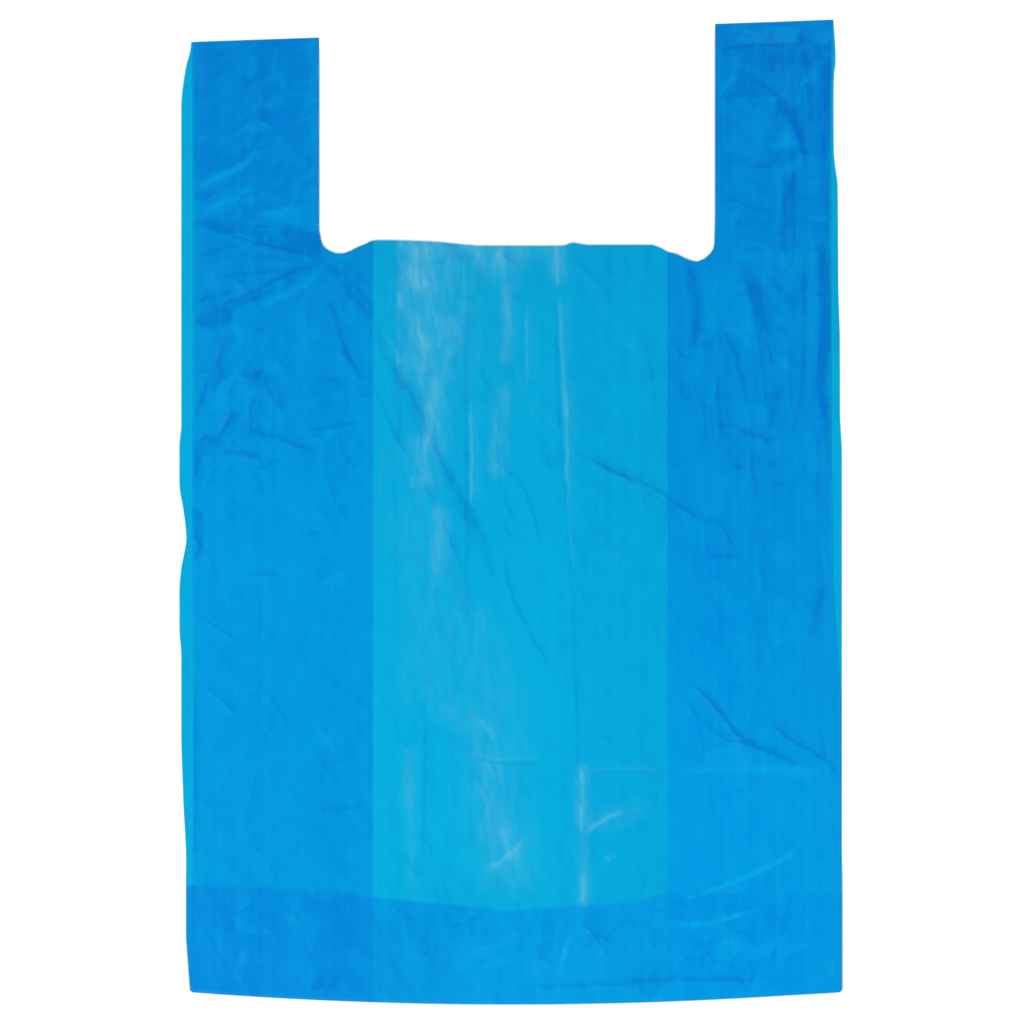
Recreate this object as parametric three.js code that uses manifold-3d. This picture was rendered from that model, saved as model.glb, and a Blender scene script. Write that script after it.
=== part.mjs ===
// A vest-shaped plastic carrier bag, empty and pressed flat, lying front side up.
//
// The bag is one gusseted tube of film. Its sides are tucked in between the front and the back,
// so that it is four layers thick at the sides and two in the middle. The bottom is welded shut and
// folded up behind, the tops of the two handles are welded shut, and the mouth is cut out between.
//
// Millimetres. X runs across the bag, Y from the bottom to the handles, and Z up from the surface
// that the bag lies on. The origin is the middle of its footprint.

import * as THREE from "three";
import { mergeVertices } from "three/addons/utils/BufferGeometryUtils.js";
import Module from "manifold-3d";

// The film, thicker than the real one so that each layer is a solid of its own.
const FILM = 0.4;
const GAP = 0.4; // air between two layers that lie on each other
const WELD_GAP = 0.1; // what is left of that air beside a weld
const WELD = 3; // width of a welded seam
const CLOSING = 12; // length over which the layers come together beside a weld

// Across the bag.
const FRONT_LEFT = -174.3; // outer folds of the front pair of layers
const FRONT_RIGHT = 174.3;
const OVERHANG = 5.4; // how far the back pair of layers shows past them
const TUCK_LEFT = -75.1; // inner folds of the two gussets
const TUCK_RIGHT = 85;

// Along the bag, before the laid film is drawn askew.
const TOP = 262.2; // welded tops of the handles
const BOTTOM = -261.1; // fold below which the bottom is turned up behind
const FLAP_END = -206; // welded seam of the turned-up bottom
const RAMP_LOW = -176; // the bag leaves the surface here ...
const RAMP_HIGH = -212; // ... and lies on the flap from here
const FLAP_GAP = 0.4; // air between the bag and its flap

// How the laid film is drawn askew.
const BOTTOM_BOW = 7.1; // the middle of the bottom fold lies lower than its ends
const BOW_FADE = 200; // height over which the bow dies out
const TOP_SLOPE = Math.tan(THREE.MathUtils.degToRad(1.97)); // the handles' tops rise to the right
const SLOPE_FADE = 420; // length below the tops over which that slope dies out

// The mouth, cut between the handles.
const CUT_LEFT = -105.1; // inner edges of the handles
const CUT_RIGHT = 110.9;
const MOUTH = 145.4; // edge of the front and back panels
const DIP_LEFT = new THREE.Vector2(-93.6, 140.8); // lowest points of the rounded corners
const DIP_RIGHT = new THREE.Vector2(101.1, 136.6);

const PANEL_STEPS = 6;
const LEAF_STEPS = 3;
const FOLD_STEPS = 3;
const TURN_STEPS = 8;
const BAR_STEPS = 12;

const wasm = await Module();
wasm.setup();

// Height of a layer's middle above the back of the stack: 0 is the back panel, 3 the front one.
const layerHeight = (layer, gap) => FILM / 2 + layer * (FILM + gap);
const stackHeight = (gap) => 4 * FILM + 3 * gap;

// Steps of a straight run of film. `outside` is +1 where the bag's outside faces up the stack.
function run(fromX, toX, layer, outside, steps, gap) {
  return Array.from({ length: steps }, (_, i) => ({
    x: THREE.MathUtils.lerp(fromX, toX, i / steps),
    h: layerHeight(layer, gap),
    normal: new THREE.Vector2(0, outside),
  }));
}

// Steps of a fold from one layer to a neighbouring one. `side` is the X direction in which the
// fold bulges, and `convex` is +1 where the bag's outside is the outside of the fold.
function fold(centreX, fromLayer, toLayer, side, convex, gap) {
  const radius = (FILM + gap) / 2;
  const middle = (layerHeight(fromLayer, gap) + layerHeight(toLayer, gap)) / 2;
  const start = Math.sign(fromLayer - toLayer);
  return Array.from({ length: FOLD_STEPS }, (_, i) => {
    const angle = (Math.PI * i) / FOLD_STEPS;
    const away = new THREE.Vector2(side * Math.sin(angle), start * Math.cos(angle));
    return {
      x: centreX + radius * away.x,
      h: middle + radius * away.y,
      normal: away.multiplyScalar(convex),
    };
  });
}

// The middle line of the film once round the tube, from the front panel's left end.
function filmLine(gap, overhang) {
  const inset = FILM + gap / 2;
  const front = [FRONT_LEFT + inset, FRONT_RIGHT - inset];
  const back = [front[0] - overhang, front[1] + overhang];
  const tuck = [TUCK_LEFT - inset, TUCK_RIGHT + inset];
  return [
    ...run(front[0], front[1], 3, 1, PANEL_STEPS, gap),
    ...fold(front[1], 3, 2, 1, 1, gap),
    ...run(front[1], tuck[1], 2, -1, LEAF_STEPS, gap),
    ...fold(tuck[1], 2, 1, -1, -1, gap),
    ...run(tuck[1], back[1], 1, 1, LEAF_STEPS, gap),
    ...fold(back[1], 1, 0, 1, 1, gap),
    ...run(back[1], back[0], 0, -1, PANEL_STEPS, gap),
    ...fold(back[0], 0, 1, -1, 1, gap),
    ...run(back[0], tuck[0], 1, 1, LEAF_STEPS, gap),
    ...fold(tuck[0], 1, 2, 1, -1, gap),
    ...run(tuck[0], front[0], 2, -1, LEAF_STEPS, gap),
    ...fold(front[0], 2, 3, -1, 1, gap),
  ];
}

// The stations that the film line is swept through. The stack's back face passes through (y, z),
// and `turn` is the angle by which the stack has rolled over towards the back.
function stations() {
  const full = { gap: GAP, overhang: OVERHANG };
  const lifted = stackHeight(GAP) + FLAP_GAP;
  const turnY = BOTTOM + stackHeight(GAP) + FLAP_GAP / 2;
  const list = [
    { y: TOP, gap: WELD_GAP, overhang: 0 },
    { y: TOP - WELD - 0.5, gap: WELD_GAP, overhang: 0 },
    { y: TOP - CLOSING, gap: GAP, overhang: OVERHANG / 2 },
    { y: TOP - 3 * CLOSING, ...full },
  ];
  for (const y of [190, 150, 130, 80, 30, -20, -70, -120, RAMP_LOW]) {
    list.push({ y, ...full });
  }
  const rampSteps = 6;
  for (let i = 1; i <= rampSteps; i++) {
    const y = THREE.MathUtils.lerp(RAMP_LOW, RAMP_HIGH, i / rampSteps);
    list.push({ y, z: lifted * THREE.MathUtils.smoothstep(i / rampSteps, 0, 1), ...full });
  }
  for (let i = 0; i <= TURN_STEPS; i++) {
    const turn = (Math.PI * i) / TURN_STEPS;
    list.push({
      y: turnY - (FLAP_GAP / 2) * Math.sin(turn),
      z: lifted - (FLAP_GAP / 2) * (1 - Math.cos(turn)),
      turn,
      gap: GAP,
      overhang: OVERHANG / 2,
    });
  }
  const flap = [
    { y: FLAP_END - 2 * CLOSING, gap: GAP, overhang: OVERHANG / 2 },
    { y: FLAP_END - CLOSING, gap: GAP, overhang: OVERHANG / 2 },
    { y: FLAP_END - WELD - 0.5, gap: WELD_GAP, overhang: 0 },
    { y: FLAP_END, gap: WELD_GAP, overhang: 0 },
  ];
  for (const place of flap) {
    list.push({ ...place, z: stackHeight(place.gap), turn: Math.PI });
  }
  return list;
}

// The bow of the bottom fold and the slope of the handles' tops.
function drawAskew(geometry) {
  const position = geometry.getAttribute("position");
  const middle = (FRONT_LEFT + FRONT_RIGHT) / 2;
  const halfWidth = (FRONT_RIGHT - FRONT_LEFT) / 2 + OVERHANG;
  for (let i = 0; i < position.count; i++) {
    const x = position.getX(i);
    const y = position.getY(i);
    const across = (x - middle) / halfWidth;
    const low = 1 - THREE.MathUtils.smoothstep(y, BOTTOM + 60, BOTTOM + 60 + BOW_FADE);
    const high = THREE.MathUtils.smoothstep(y, TOP - SLOPE_FADE, TOP - 30);
    position.setY(i, y - BOTTOM_BOW * (1 - across * across) * low + TOP_SLOPE * x * high);
  }
  return geometry;
}

// The film tube: an outside and an inside skin through all stations, joined at both ends.
function filmTube() {
  const places = stations();
  const points = [];
  for (const skin of [1, -1]) {
    for (const { y, z = 0, turn = 0, gap, overhang } of places) {
      for (const { x, h, normal } of filmLine(gap, overhang)) {
        const reach = h + (skin * normal.y * FILM) / 2;
        points.push(
          x + (skin * normal.x * FILM) / 2,
          y - reach * Math.sin(turn),
          z + reach * Math.cos(turn),
        );
      }
    }
  }
  const around = filmLine(GAP, OVERHANG).length;
  const skinSize = around * places.length;
  const index = [];
  const quad = (a, b, c, d) => index.push(a, b, c, a, c, d);
  for (let j = 0; j < around; j++) {
    const next = (j + 1) % around;
    for (let i = 0; i + 1 < places.length; i++) {
      const here = i * around;
      const there = here + around;
      quad(here + j, there + j, there + next, here + next);
      const inner = skinSize;
      quad(inner + here + next, inner + there + next, inner + there + j, inner + here + j);
    }
    const last = skinSize - around;
    quad(j, next, skinSize + next, skinSize + j);
    quad(last + next, last + j, last + skinSize + j, last + skinSize + next);
  }
  const tube = new THREE.BufferGeometry();
  tube.setAttribute("position", new THREE.Float32BufferAttribute(points, 3));
  tube.setIndex(index);
  return drawAskew(tube);
}

// A welded seam: the four layers run together into one bar, whose top end is at `y`.
function weldBar(y) {
  const thickness = stackHeight(WELD_GAP) + WELD_GAP;
  const width = FRONT_RIGHT - FRONT_LEFT;
  const bar = new THREE.BoxGeometry(width, WELD, thickness, BAR_STEPS, 1, 1);
  bar.translate((FRONT_LEFT + FRONT_RIGHT) / 2, y - WELD / 2, thickness / 2);
  return drawAskew(bar);
}

// What is cut away between the handles, with a rounded dip beside each of them.
function mouthCut() {
  const shape = new THREE.Shape();
  shape.moveTo(CUT_LEFT, TOP + 20);
  shape.lineTo(CUT_LEFT, MOUTH + 10);
  shape.splineThru([
    new THREE.Vector2(CUT_LEFT + 2.2, MOUTH - 1),
    DIP_LEFT,
    new THREE.Vector2(TUCK_LEFT - 8, MOUTH - 0.5),
    new THREE.Vector2(TUCK_LEFT, MOUTH + 2.4),
    new THREE.Vector2(TUCK_LEFT + 30, MOUTH),
  ]);
  shape.lineTo(TUCK_RIGHT - 22, MOUTH);
  shape.splineThru([
    new THREE.Vector2(TUCK_RIGHT - 3, MOUTH - 1.4),
    DIP_RIGHT,
    new THREE.Vector2(CUT_RIGHT - 2.6, MOUTH - 5),
    new THREE.Vector2(CUT_RIGHT, MOUTH + 8),
  ]);
  shape.lineTo(CUT_RIGHT, TOP + 20);
  const depth = 3 * stackHeight(GAP);
  const cut = new THREE.ExtrudeGeometry(shape, { depth, curveSegments: 4, bevelEnabled: false });
  return cut.translate(0, 0, -depth / 3);
}

function toSolid(geometry) {
  const bare = geometry.clone();
  bare.deleteAttribute("normal");
  bare.deleteAttribute("uv");
  const merged = mergeVertices(bare, 1e-4);
  return new wasm.Manifold(
    new wasm.Mesh({
      numProp: 3,
      vertProperties: merged.getAttribute("position").array,
      triVerts: new Uint32Array(merged.getIndex().array),
    }),
  );
}

function toGeometry(solid) {
  const { vertProperties, triVerts } = solid.getMesh();
  const geometry = new THREE.BufferGeometry();
  geometry.setAttribute("position", new THREE.BufferAttribute(vertProperties, 3));
  geometry.setIndex(new THREE.BufferAttribute(triVerts, 1));
  geometry.computeVertexNormals();
  return geometry;
}

// The bag: the tube of film with both seams welded and the mouth cut out.
function bagFilm() {
  const solid = toSolid(filmTube())
    .add(toSolid(weldBar(TOP)))
    .add(toSolid(weldBar(FLAP_END)))
    .subtract(toSolid(mouthCut()));
  const material = new THREE.MeshStandardMaterial({
    color: 0x0596d8,
    roughness: 0.35,
    metalness: 0,
    transparent: true,
    opacity: 0.75,
  });
  const mesh = new THREE.Mesh(toGeometry(solid), material);
  mesh.name = "bag_film";
  return mesh;
}

const bag = new THREE.Group();
bag.add(bagFilm());

export default bag;
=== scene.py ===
"""A vest-shaped plastic carrier bag of thin blue film, pressed flat and lying front side up.

The film is one closed loop of columns around the tube (front panel, gusset leaves, back panel), with
rows along it from the weld of the turned-up bottom, round the bottom fold, up to the handles.

Lengths are in millimetres until the mesh is made. X runs across the bag, Y from its bottom to its
handles and Z up, in the frame of the CAD model.
"""

import math
from types import SimpleNamespace

import bpy
import numpy as np
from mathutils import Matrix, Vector


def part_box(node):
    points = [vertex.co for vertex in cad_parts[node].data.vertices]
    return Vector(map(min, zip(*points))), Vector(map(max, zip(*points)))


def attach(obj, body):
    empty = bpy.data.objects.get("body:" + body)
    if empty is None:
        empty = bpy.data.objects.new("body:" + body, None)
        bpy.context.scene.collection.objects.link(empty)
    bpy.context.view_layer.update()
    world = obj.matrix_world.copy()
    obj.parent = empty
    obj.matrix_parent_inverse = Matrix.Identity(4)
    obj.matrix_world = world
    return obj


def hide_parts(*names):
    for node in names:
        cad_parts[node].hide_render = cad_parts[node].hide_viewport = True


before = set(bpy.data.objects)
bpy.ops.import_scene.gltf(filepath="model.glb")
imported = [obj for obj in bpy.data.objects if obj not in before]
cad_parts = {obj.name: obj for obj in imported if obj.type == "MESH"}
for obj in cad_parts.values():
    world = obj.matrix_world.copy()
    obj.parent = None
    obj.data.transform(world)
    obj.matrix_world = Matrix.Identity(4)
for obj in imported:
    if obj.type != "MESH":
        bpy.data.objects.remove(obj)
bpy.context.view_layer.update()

MM = 0.001  # metres in a millimetre
PIECE = "carrier_bag"

# The bag's outline, from the CAD node's box.
LOWEST, HIGHEST = (np.array(corner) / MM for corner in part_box("bag_film"))
LEFT, RIGHT = LOWEST[0], HIGHEST[0]
LOW_END, HIGH_END = LOWEST[1], HIGHEST[1]
HALF_WIDTH = (RIGHT - LEFT) / 2

# Lines along the bag, before the laid film is drawn askew.
BOTTOM_BOW = 7.1  # the middle of the bottom fold lies lower than its ends
BOW_START = 60  # height above the bottom fold up to which the bow is whole
BOW_FADE = 200  # height over which the bow dies out above that
TOP_SLOPE = math.tan(math.radians(1.97))  # the handles' tops rise to the right
SLOPE_FADE = 420  # how far below the tops that slope has died out
SLOPE_RISE = SLOPE_FADE - 30  # height over which it comes in
BOTTOM = LOW_END + BOTTOM_BOW  # fold below which the bottom is turned up behind
TOP = HIGH_END - TOP_SLOPE * (RIGHT - 5.4)  # welded tops of the handles
FLAP = 55  # how far the bottom is turned up
SHEAR = 60  # length below the mouth over which the rows bend to its edge
MOUTH_SPREAD = 0.27  # how far to each side they look for that edge, as a share of the depth below it
CUT_START = BOTTOM + 418  # height from which the handles' inner edges are straight

# Lines across the bag.
OVERHANG = 5.4  # how far the back pair of layers shows past the front pair
FRONT_LEFT, FRONT_RIGHT = LEFT + OVERHANG, RIGHT - OVERHANG
TUCK_LEFT, TUCK_RIGHT = LEFT + 104.5, RIGHT - 94.6  # inner folds of the two gussets
CUT_LEFT, CUT_RIGHT = LEFT + 75, RIGHT - 68.5  # inner edges of the handles

# Heights. The film has no thickness here, and its layers lie a little apart: the back panel is
# layer 0, the gussets' leaves are layers 1 and 2, and the front panel is layer 3.
FRONT_LAYER = 3
LAYER = 0.16  # from one layer to the next
FRONT_LIFT = 0.1  # so that the coarser layers under the front panel never show through
TURN_GAP = 0.5  # inside the bottom fold
CLEARANCE = 0.2  # below the lowest layer
LOWEST_FILM = 0.05
STACK = FRONT_LAYER * LAYER
TURN_CENTRE = CLEARANCE + STACK + TURN_GAP / 2  # height of the bottom fold's axis
WELD_FADE = 14  # length over which the layers part beside a weld
PRESSED = 0.94  # how much of their distance a weld takes away

# Mesh.
FINE = 1.8  # spacing of the front panel's rows and columns
LEAF_STEP = 4.2  # spacing of the columns in the gussets' leaves
BACK_STEP = 3.0  # spacing of the columns in the back panel
TURN_ROWS = 8  # round the bottom fold
BESIDE_CUT = np.array([0, 0.35, 0.9, 1.7, 2.8, 4.2, 6])  # for the mouth's round corners
DRAWN_IN = 30  # how far from an outer fold the columns follow it

# Creases and patches.
CHANNELS = 6  # creases that may lie near each other and still be drawn sharply
FAR = 9.0  # distance that stands for no crease or patch near
WIDEST_FINE = 2  # width up to which a crease is drawn sharply
NARROWEST_RIDGE = 1.9  # width of the finest relief that the mesh can show
TAPERED_SHARE = 0.22  # part of a crease's length over which each end fades in
PATCH_MARGIN = 5  # how far outside its outline a patch's depth is kept
SHEEN_LINE = 116.5  # from the left side to the line at which the painted milky sheen ends
SHEEN_LINE_START = 250  # height from which it does

# Looks.
STUDIO_LIGHT = 1.22  # how brightly the lights and the world together show a white sheet
FACET_BEND = 0.25  # how far a crumple's edges wander, as a share of its size

# The mouth's edge: (across from the bag's left side, up from its bottom).
MOUTH = [
    (75.0, 425), (75.2, 421), (77.2, 413.4), (82.2, 410), (86.5, 408.9), (91, 410), (95.4, 412.3),
    (99.8, 414), (104, 416), (108.5, 416.4), (126, 416), (139, 415.4), (156, 413.8), (165, 413.3),
    (208, 413.3), (213, 415), (221, 413.8), (256, 413.8), (261, 412.2), (265, 410), (269.5, 409),
    (274, 406.8), (281, 404.6), (287, 408), (290.3, 413.4), (291, 420), (291.1, 425),
]

# How far the outer folds lie inside the box, (up from the bottom, inwards).
BACK_LEFT_FOLD = [
    (7, 4.9), (22, 3.8), (40, 2.7), (75, 2.7), (112, 1.1), (150, 0), (190, 0), (205, -1.0), (225, -1.0),
    (238, 0), (246, 1.6), (254, 2.8), (262, 2.2), (270, 1.1), (284, -1.0), (305, -1.0), (315, 0),
    (489, 0), (497, 0.5), (505, 1.6), (512, 2.8), (520, 5.0), (536, 6.0),
]
BACK_RIGHT_FOLD = [
    (0, -0.5), (300, -0.5), (322, 0.5), (362, 0.6), (390, 1.4), (446, 1.8), (457, 3.2), (466, 3.9),
    (493, 4.0), (506, 3.8), (514, 2.9), (523, 3.2), (536, 4.1),
]
FRONT_LEFT_FOLD = [(0, 5.4), (60, 6.6), (180, 6.8), (260, 6.2), (400, 6.4), (536, 6.1)]
FRONT_RIGHT_FOLD = [
    (0, 0.2), (165, 0.4), (185, 1.6), (215, 3.6), (240, 4.6), (380, 5.6), (490, 5.7), (520, 4.8),
    (536, 4.3),
]
FLAP_EDGE = [
    (13, 65), (51, 63.7), (86, 61.5), (106, 58.8), (133, 56.1), (162, 53.5), (178, 51.7), (198, 52.6),
    (213, 54.4), (246, 56.1), (265, 61), (300, 61), (358, 61),
]

# Creases of the front panel: (width, depth, points). The points are across from the bag's left side
# and up from its bottom. A depth above zero is a dark crease, and one below zero a pale ridge. Most
# of the points here and in the tables of patches and of the milky sheen were given in pixels on the
# photograph and scaled to millimetres. Most of the points here and in PATCHES and MILKY_SHEEN were
# picked on the photograph in pixels and scaled to millimetres by a script.
# A dark crease is doubled film with painted shade along it, and a pale ridge is a painted highlight.
CREASES = [
    # left handle
    (1.0, 0.5, [(7, 428), (17, 427), (29, 425), (48, 423), (75, 421)]),
    (1.2, 0.7, [(7, 423), (22, 421), (35, 416), (46, 413), (65, 409), (77, 405)]),
    (1.0, -0.5, [(24, 421), (40, 416), (60, 411)]),
    (1.2, 0.5, [(7, 408), (21, 411), (33, 414)]),
    (1.2, -0.35, [(27, 472), (38, 480), (48, 479)]),
    (1.2, -0.35, [(45, 488), (53, 490), (58, 493)]),
    (1.2, -0.4, [(67, 487), (70, 491), (75, 493)]),
    (1.2, 0.35, [(8, 447), (16, 454), (28, 457), (39, 464)]),
    (1.6, -0.35, [(8, 444), (17, 450), (29, 455), (40, 462)]),
    (2.0, -0.4, [(11, 433), (21, 435), (30, 439), (36, 445), (41, 446)]),
    (1.6, -0.3, [(36, 433), (41, 438), (48, 443)]),
    (1.2, -0.35, [(63, 449), (69, 451), (74, 452)]),
    (2.2, -0.3, [(41, 431), (60, 432), (69, 428)]),
    (1.2, 0.4, [(9, 440), (22, 443), (32, 449)]),
    # left, fanning out from the mouth
    (1.2, 0.35, [(77, 404), (43, 407), (6, 408)]),
    (1.0, 0.5, [(77, 404), (51, 399), (15, 396)]),
    (1.4, 0.9, [(77, 404), (57, 397), (29, 383), (8, 377)]),
    (4.0, 0.9, [(8, 372), (19, 374), (29, 380)]),
    (1.2, 0.6, [(8, 384), (19, 386), (28, 389)]),
    (1.2, 0.5, [(77, 405), (59, 393), (44, 386), (32, 382)]),
    (1.5, -0.5, [(80, 401), (65, 391), (50, 384), (35, 378)]),
    (1.0, 0.4, [(78, 399), (65, 386), (47, 379)]),
    (1.5, 0.7, [(78, 405), (85, 396), (93, 385), (105, 371)]),
    (1.2, 0.6, [(88, 404), (95, 397), (105, 391)]),
    (1.0, 0.4, [(85, 405), (93, 393), (104, 381)]),
    (1.5, 0.6, [(81, 388), (85, 370), (90, 355), (94, 346), (99, 337)]),
    (1.0, 0.4, [(88, 359), (100, 338)]),
    (1.0, 0.35, [(84, 393), (88, 381), (92, 374)]),
    # right handle
    (1.2, 0.6, [(294, 520), (310, 522), (332, 523)]),
    (1.3, 0.7, [(306, 510), (314, 503), (322, 497), (329, 491), (336, 481)]),
    (1.0, 0.4, [(306, 510), (299, 500), (293, 492)]),
    (1.9, 0.8, [(323, 494), (329, 486), (335, 478), (337, 474), (339, 463), (340, 452)]),
    (1.5, 0.8, [(338, 533), (339, 523), (342, 506)]),
    (1.0, 0.5, [(333, 506), (330, 495)]),
    (1.3, 0.7, [(341, 503), (342, 485), (340, 478)]),
    (3.5, 0.5, [(350, 517), (352, 513), (351, 493), (350, 463), (352, 456)]),
    (1.9, 0.8, [(334, 458), (332, 445), (328, 434), (327, 419), (328, 404)]),
    (1.2, 0.6, [(293, 436), (301, 438), (311, 434), (326, 430)]),
    (1.0, 0.5, [(304, 411), (322, 411)]),
    (1.0, 0.4, [(299, 426), (311, 424)]),
    (1.0, 0.35, [(293, 460), (307, 457), (324, 457)]),
    (1.2, -0.5, [(341, 429), (353, 427)]),
    (1.0, -0.5, [(348, 520), (354, 516)]),
    (2.0, -0.4, [(292, 495), (304, 507)]),
    (3.0, 0.6, [(305, 404), (308, 394), (311, 384)]),
    (3.0, 0.6, [(348, 416), (349, 384)]),
    (1.0, 0.4, [(340, 414), (340, 387)]),
    (1.0, 0.4, [(308, 533), (318, 529)]),
    (1.0, 0.3, [(321, 468), (328, 480)]),
    # right, below the handle
    (2.0, 0.8, [(276, 405), (278, 392), (280, 378), (280, 365), (279, 354)]),
    (1.0, 0.5, [(265, 363), (272, 354), (277, 352), (280, 354)]),
    (1.5, 0.5, [(283, 362), (286, 357), (291, 362), (294, 359)]),
    (1.3, 0.6, [(298, 363), (301, 355), (304, 344), (307, 333), (308, 321)]),
    (1.1, 0.6, [(305, 402), (309, 389), (312, 378), (314, 362), (316, 348), (317, 335), (319, 323)]),
    (4.0, 0.45, [(309, 397), (314, 384), (316, 368), (317, 359)]),
    (1.0, 0.4, [(314, 362), (320, 358), (321, 344)]),
    (3.0, 0.4, [(320, 396), (326, 389), (332, 383), (333, 376)]),
    (1.0, 0.5, [(327, 359), (331, 354), (331, 341), (332, 326), (334, 310)]),
    (1.6, 0.5, [(339, 417), (339, 389), (339, 353), (337, 330), (334, 313)]),
    (2.6, 0.9, [(349, 417), (350, 399), (352, 389), (351, 362), (348, 341), (348, 320)]),
    (1.5, 0.6, [(352, 335), (352, 308), (354, 283)]),
    (1.2, 0.5, [(346, 317), (347, 299), (346, 276)]),
    (1.2, 0.5, [(291, 346), (292, 328), (294, 308)]),
    (1.0, 0.6, [(272, 340), (273, 333), (277, 328)]),
    (0.9, 0.35, [(277, 341), (280, 333), (284, 325), (286, 304)]),
    (0.8, 0.3, [(297, 315), (304, 315)]),
    # left side
    (1.0, 0.5, [(7, 345), (15, 345)]),
    (1.9, 0.85, [(23, 362), (20, 348), (21, 343), (19, 335)]),
    (1.6, 0.75, [(31, 344), (36, 342), (47, 345)]),
    (1.4, 0.5, [(31, 343), (28, 336), (25, 331)]),
    (1.6, 0.6, [(44, 343), (40, 340), (35, 335)]),
    (1.4, 0.4, [(45, 345), (47, 335), (53, 326), (56, 321)]),
    (1.0, 0.3, [(30, 341), (26, 329), (24, 324)]),
    (1.0, 0.3, [(34, 358), (35, 354)]),
    (1.2, 0.8, [(39, 333), (38, 320), (38, 307)]),
    (1.9, 0.95, [(35, 324), (28, 320), (23, 313), (19, 308), (11, 309), (8, 304)]),
    (1.2, 0.5, [(27, 307), (31, 303)]),
    (1.6, 0.8, [(19, 300), (28, 300), (38, 299), (46, 297)]),
    (1.2, 0.6, [(54, 297), (48, 295), (42, 291)]),
    (1.2, 0.7, [(40, 311), (51, 309), (64, 304), (76, 300)]),
    (1.2, 0.7, [(67, 314), (76, 313), (83, 315), (99, 316)]),
    (1.0, 0.5, [(71, 310), (78, 309)]),
    (1.0, 0.5, [(19, 292), (15, 283)]),
    (0.9, 0.4, [(36, 295), (41, 287), (46, 276)]),
    (2.5, 0.5, [(8, 306), (7, 286), (7, 275)]),
    (1.0, 0.5, [(65, 255), (75, 257)]),
    (0.9, 0.35, [(82, 266), (91, 268)]),
    (1.2, 0.5, [(34, 234), (42, 234), (53, 234)]),
    (0.8, 0.4, [(96, 332), (103, 331)]),
    (1.0, 0.4, [(6, 214), (20, 205), (33, 196)]),
    (1.0, 0.4, [(11, 176), (29, 160), (42, 152)]),
    (1.5, 0.7, [(7, 180), (7, 71)]),
    (1.0, 0.3, [(39, 180), (54, 160), (68, 140)]),
    (1.0, 0.3, [(85, 176), (104, 158)]),
    (1.5, 0.4, [(73, 105), (102, 108)]),
    # middle
    (1.5, 0.6, [(105, 362), (111, 352), (127, 328), (138, 303), (160, 263), (171, 234)]),
    (1.0, 0.5, [(103, 344), (106, 335), (117, 309), (131, 287), (148, 250), (156, 229)]),
    (1.2, 0.6, [(175, 247), (180, 223), (193, 196), (204, 181)]),
    (1.0, -0.5, [(126, 289), (126, 280)]),
    (1.2, -0.4, [(140, 258), (140, 240)]),
    (1.0, 0.3, [(118, 412), (119, 351), (119, 286)]),
    (1.0, 0.35, [(154, 412), (155, 302), (155, 193)]),
    (1.2, 0.3, [(203, 412), (205, 329), (210, 264), (215, 166), (217, 54)]),
    (1.6, -0.3, [(208, 359), (210, 290), (213, 223)]),
    (0.8, 0.3, [(254, 359), (262, 287)]),
    (0.9, 0.4, [(133, 162), (132, 117), (131, 71)]),
    (2.4, -0.25, [(124, 136), (125, 95), (126, 56)]),
    (1.5, -0.5, [(160, 156), (167, 151), (171, 143)]),
    (1.2, 0.42, [(156, 136), (169, 132), (180, 131), (197, 132)]),
    (1.2, -0.4, [(156, 138), (169, 134), (180, 134), (197, 134)]),
    (1.2, -1.0, [(220, 93), (231, 102), (242, 106)]),
    (1.2, -0.7, [(174, 100), (177, 87), (180, 78)]),
    (1.0, -0.6, [(231, 82), (233, 78)]),
    # right side
    (1.2, 0.6, [(213, 301), (231, 292), (256, 282), (269, 273), (284, 264), (302, 263)]),
    (1.0, 0.7, [(293, 263), (301, 249)]),
    (1.2, 0.6, [(284, 244), (305, 244)]),
    (1.8, 1.3, [(303, 312), (309, 311), (314, 309), (323, 306)]),
    (1.0, 0.4, [(303, 307), (309, 310)]),
    (1.4, 0.7, [(310, 304), (311, 290), (313, 274)]),
    (1.2, 0.5, [(301, 295), (305, 290)]),
    (1.0, 0.4, [(319, 286), (324, 283), (331, 286)]),
    (1.5, 0.5, [(291, 318), (294, 314), (296, 307)]),
    (1.0, 0.4, [(314, 241), (322, 214)]),
    (1.0, 0.35, [(287, 227), (295, 203)]),
    (1.0, 0.35, [(313, 214), (314, 178)]),
    (2.5, 0.6, [(351, 233), (341, 196)]),
    (1.0, 0.3, [(282, 201), (300, 192)]),
    (1.4, 1.0, [(271, 178), (285, 169), (303, 147), (311, 142), (336, 131), (344, 130)]),
    (1.0, 0.5, [(273, 170), (280, 158), (285, 134)]),
    (1.0, 0.5, [(284, 158), (292, 147), (313, 140)]),
    (1.3, 0.7, [(318, 156), (334, 143), (352, 132), (360, 120)]),
    (1.0, 0.5, [(347, 152), (352, 132)]),
    (0.8, -0.2, [(218, 128), (240, 129), (262, 128)]),
    (1.2, -0.35, [(262, 128), (285, 127), (315, 128), (340, 128), (356, 125)]),
    (4.0, -0.25, [(268, 128), (300, 127), (340, 127), (356, 123)]),
    (0.8, 0.3, [(270, 124), (290, 125), (306, 124)]),
    (1.2, 0.5, [(346, 82), (347, 79)]),
    # turned-up bottom
    (1.2, 0.5, [(216, 45), (235, 33)]),
    (1.2, -0.5, [(210, 38), (205, 13)]),
    (1.5, -0.5, [(267, 44), (291, 45), (314, 53)]),
    (1.2, 0.6, [(176, 9), (223, 11), (265, 14), (292, 14), (329, 14)]),
    (1.2, -0.5, [(155, 27), (169, 33)]),
    # turned-up bottom, painted highlights along ridges
    (1.0, -0.5, [(154, 23), (163, 27), (174, 33), (185, 41)]),
    (1.0, -0.5, [(156, 19), (174, 23), (190, 30)]),
    (1.4, -0.8, [(213, 40), (210, 33), (207, 22)]),
    (0.9, -0.4, [(121, 49), (123, 25)]),
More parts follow.
